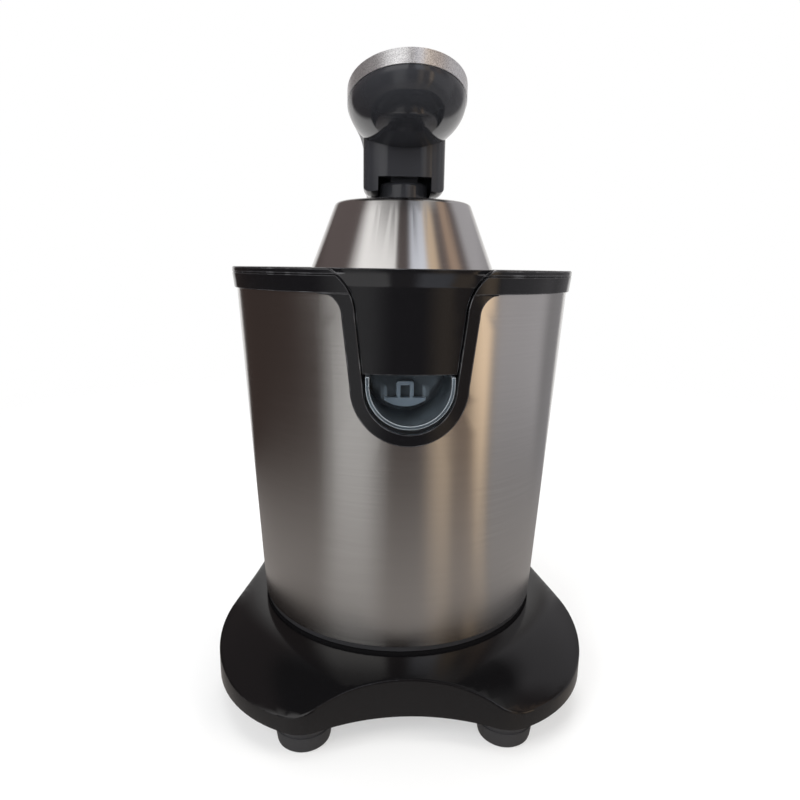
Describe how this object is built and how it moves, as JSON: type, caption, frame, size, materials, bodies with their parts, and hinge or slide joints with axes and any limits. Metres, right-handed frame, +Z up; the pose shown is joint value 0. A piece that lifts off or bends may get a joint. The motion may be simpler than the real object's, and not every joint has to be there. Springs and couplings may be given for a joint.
{
  "type": "citrus juicer",
  "caption": "Electric lever-arm citrus press: steel cone body on a lobed foot, reamer under a press lid, pouring notch with a clear spout and drip gate.",
  "frame": {"origin": "on the table, under the upright axis of the body and the reamer", "axes": "+Z up, the spout and the handle towards -Y, the hinge of the lever towards +Y"},
  "size_m": [0.1916, 0.21, 0.3076],
  "materials": {
    "black_gloss": "gloss black moulded plastic",
    "black_matt": "fine-grained black moulded plastic",
    "brushed_steel": "stainless steel brushed around the axis",
    "silver_cover": "satin silver",
    "clear_plastic": "clear polished plastic",
    "pale_plastic": "pale translucent plastic",
    "cone_plastic": "polished black plastic",
    "rubber": "matt dark grey rubber",
    "bright_steel": "bright turned steel",
    "bronze": "sintered bronze",
    "gear_nylon": "natural nylon",
    "gearbox_plastic": "glass-filled dark plastic",
    "laminated_iron": "stacked sheet iron",
    "copper": "enamelled copper",
    "carbon": "pressed carbon"
  },
  "bodies": {
    "body": {"base_shell": "black_gloss", "base_cover": "black_matt", "cover_screws": "bright_steel", "rubber_feet": "rubber", "cord_inlet": "black_matt", "shell_gasket": "rubber", "steel_shell": "brushed_steel", "top_collar": "black_gloss", "bowl_tray": "black_matt", "tie_rods": "bright_steel", "tray_screws": "bright_steel", "juice_bowl": "black_gloss", "pulp_strainer": "brushed_steel", "clear_spout": "clear_plastic", "spindle_bushes": "bronze", "shaft_seal": "rubber", "return_spring": "bright_steel", "switch_body": "black_matt", "idler_pin": "bright_steel", "gearbox_housing": "gearbox_plastic", "gearbox_cover": "gearbox_plastic", "gearbox_screws": "bright_steel", "motor_stator": "laminated_iron", "field_coils": "copper", "motor_bracket": "gearbox_plastic", "carbon_brushes": "carbon", "motor_bushes": "bronze", "motor_bolts": "bright_steel", "motor_spacers": "bright_steel", "hinge_bracket": "black_gloss", "bracket_screws": "bright_steel", "hinge_pin": "bright_steel"},
    "lever": {"lever_arm": "black_gloss", "lever_cover": "silver_cover", "lid_pivot_pin": "bright_steel"},
    "lid": {"press_lid": "brushed_steel", "press_cup": "black_matt", "lid_hub": "black_gloss", "lid_screw": "bright_steel"},
    "carriage": {"thrust_cup": "gear_nylon"},
    "spindle": {"output_shaft": "bright_steel", "output_gear": "gear_nylon", "reamer": "cone_plastic"},
    "idler": {"idler_gear": "gear_nylon"},
    "rotor": {"motor_shaft": "bright_steel", "rotor_core": "laminated_iron", "commutator": "copper", "cooling_fan": "gear_nylon", "motor_pinion": "bronze"},
    "gate": {"drip_gate": "pale_plastic"},
    "button": {"switch_button": "pale_plastic"}
  },
  "joints": [
    {"name": "lever_hinge", "type": "hinge", "parent": "body", "child": "lever", "pos_m": [0, 0.092, 0.232], "axis": [-1, 0, 0], "range_deg": [0, 80]},
    {"name": "lid_swing", "type": "hinge", "parent": "lever", "child": "lid", "pos_m": [0, 0, 0.269], "axis": [1, 0, 0], "range_deg": [-5, 5]},
    {"name": "spindle_press", "type": "slide", "parent": "body", "child": "carriage", "axis": [0, 0, -1], "range_m": [0, 0.002], "stiffness_N_per_m": 2500, "springref_m": -0.003, "deforming": ["return_spring"]},
    {"name": "rotor_spin", "type": "hinge", "parent": "body", "child": "rotor", "pos_m": [0, 0.031, 0.1], "axis": [0, 0, 1], "continuous": true},
    {"name": "idler_spin", "type": "hinge", "parent": "body", "child": "idler", "pos_m": [0.02986, 0.02269, 0.12], "axis": [0, 0, 1], "continuous": true},
    {"name": "spindle_spin", "type": "hinge", "parent": "carriage", "child": "spindle", "pos_m": [0, 0, 0.15], "axis": [0, 0, 1], "continuous": true},
    {"name": "drip_gate_lift", "type": "slide", "parent": "body", "child": "gate", "axis": [0, 0, 1], "range_m": [0, 0.008]},
    {"name": "switch_button_press", "type": "slide", "parent": "body", "child": "button", "axis": [0, 0, -1], "range_m": [0, 0.002]}
  ],
  "couplings": [
    {"joint": "idler_spin", "follows": "rotor_spin", "ratio": -0.29167},
    {"joint": "spindle_spin", "follows": "rotor_spin", "ratio": 0.11343},
    {"joint": "switch_button_press", "follows": "spindle_press", "ratio": 1}
  ]
}
